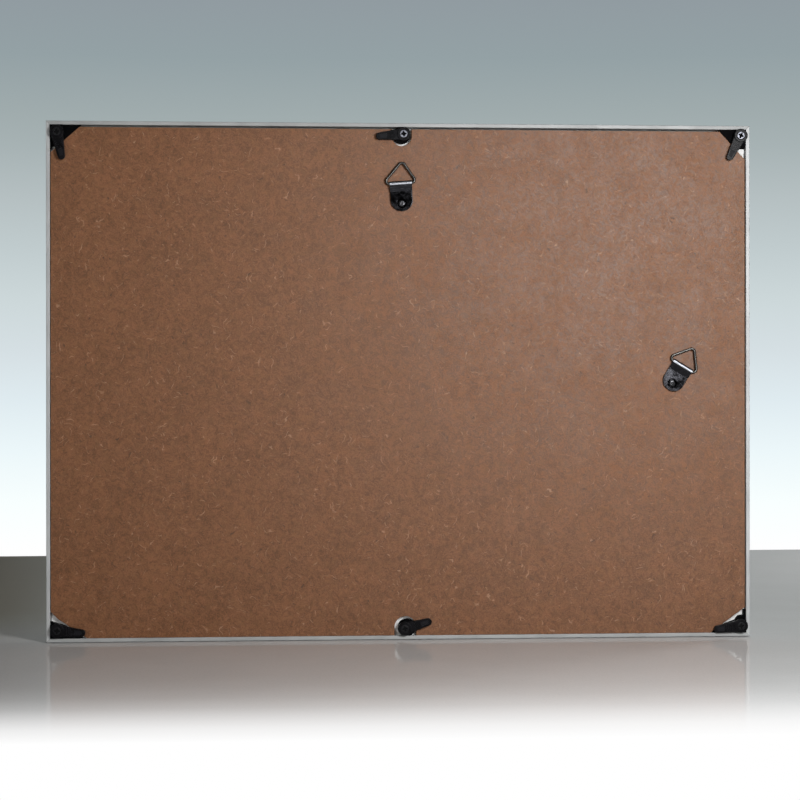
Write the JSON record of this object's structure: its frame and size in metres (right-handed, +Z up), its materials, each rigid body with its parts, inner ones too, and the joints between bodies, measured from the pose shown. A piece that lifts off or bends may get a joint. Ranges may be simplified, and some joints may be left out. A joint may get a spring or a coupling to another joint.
{
  "type": "clip frame",
  "caption": "Thin-railed landscape picture frame with glass, a hardboard back held by turning clips, and swivelling triangle-ring hangers.",
  "frame": {"origin": "middle of the bottom rail's underside, where the frame stands", "axes": "+X to the right as seen from the back, +Y out of the glass front, +Z up"},
  "size_m": [0.41, 0.0149, 0.3],
  "materials": {
    "silver_rail": "satin silver grey, drawn along the rail",
    "clear_glass": "clear float glass with ground edges",
    "white_paper": "blank white paper",
    "white_card": "white-faced card",
    "brown_hardboard": "pressed hardboard, pale curly fibres and dark specks, slight sheen",
    "black_plastic": "moulded black plastic, slight sheen",
    "bright_screw": "bright zinc",
    "black_screw": "black oxide",
    "dark_steel": "polished dark nickel plate with bright worn edges"
  },
  "bodies": {
    "frame": {"bottom_rail": "silver_rail", "top_rail": "silver_rail", "left_rail": "silver_rail", "right_rail": "silver_rail", "glass_pane": "clear_glass", "insert_sheet": "white_paper", "filler_card": "white_card", "back_board": "brown_hardboard", "top_left_gusset": "black_plastic", "top_right_gusset": "black_plastic", "bottom_left_gusset": "black_plastic", "bottom_right_gusset": "black_plastic", "top_button_seat": "black_plastic", "bottom_button_seat": "black_plastic", "top_pivot_screw": "bright_screw", "bottom_pivot_screw": "black_screw", "top_left_pivot_screw": "black_screw", "top_right_pivot_screw": "bright_screw", "bottom_left_pivot_screw": "black_screw", "bottom_right_pivot_screw": "black_screw", "top_hanger_rivet": "dark_steel", "side_hanger_rivet": "dark_steel"},
    "top_button": {"top_turn_button": "black_plastic"},
    "bottom_button": {"bottom_turn_button": "black_plastic"},
    "top_left_button": {"top_left_turn_button": "black_plastic"},
    "top_right_button": {"top_right_turn_button": "black_plastic"},
    "bottom_left_button": {"bottom_left_turn_button": "black_plastic"},
    "bottom_right_button": {"bottom_right_turn_button": "black_plastic"},
    "top_hanger": {"top_hanger_strap": "dark_steel"},
    "top_ring": {"top_hanger_ring": "dark_steel"},
    "side_hanger": {"side_hanger_strap": "dark_steel"},
    "side_ring": {"side_hanger_ring": "dark_steel"}
  },
  "joints": [
    {"name": "top_button_turn", "type": "hinge", "parent": "frame", "child": "top_button", "pos_m": [0.0009, -0.0063, 0.2936], "axis": [0, -1, 0], "continuous": true},
    {"name": "bottom_button_turn", "type": "hinge", "parent": "frame", "child": "bottom_button", "pos_m": [0.0014, -0.0063, 0.0064], "axis": [0, -1, 0], "continuous": true},
    {"name": "top_left_button_turn", "type": "hinge", "parent": "frame", "child": "top_left_button", "pos_m": [-0.1987, -0.0063, 0.2934], "axis": [0, -1, 0], "continuous": true},
    {"name": "top_right_button_turn", "type": "hinge", "parent": "frame", "child": "top_right_button", "pos_m": [0.1993, -0.0063, 0.2941], "axis": [0, -1, 0], "continuous": true},
    {"name": "bottom_left_button_turn", "type": "hinge", "parent": "frame", "child": "bottom_left_button", "pos_m": [-0.1987, -0.0063, 0.0069], "axis": [0, -1, 0], "continuous": true},
    {"name": "bottom_right_button_turn", "type": "hinge", "parent": "frame", "child": "bottom_right_button", "pos_m": [0.1993, -0.0063, 0.0063], "axis": [0, -1, 0], "continuous": true},
    {"name": "top_hanger_swivel", "type": "hinge", "parent": "frame", "child": "top_hanger", "pos_m": [0, -0.0054, 0.2534], "axis": [0, -1, 0], "continuous": true},
    {"name": "top_ring_swing", "type": "hinge", "parent": "top_hanger", "child": "top_ring", "pos_m": [-0.0008, -0.00698, 0.26487], "axis": [0.9976, 0, 0.0698], "range_deg": [-2, 160]},
    {"name": "side_hanger_swivel", "type": "hinge", "parent": "frame", "child": "side_hanger", "pos_m": [0.1588, -0.0054, 0.1488], "axis": [0, -1, 0], "continuous": true},
    {"name": "side_ring_swing", "type": "hinge", "parent": "side_hanger", "child": "side_ring", "pos_m": [0.16472, -0.00698, 0.15866], "axis": [0.8572, 0, -0.515], "range_deg": [-2, 160]}
  ]
}
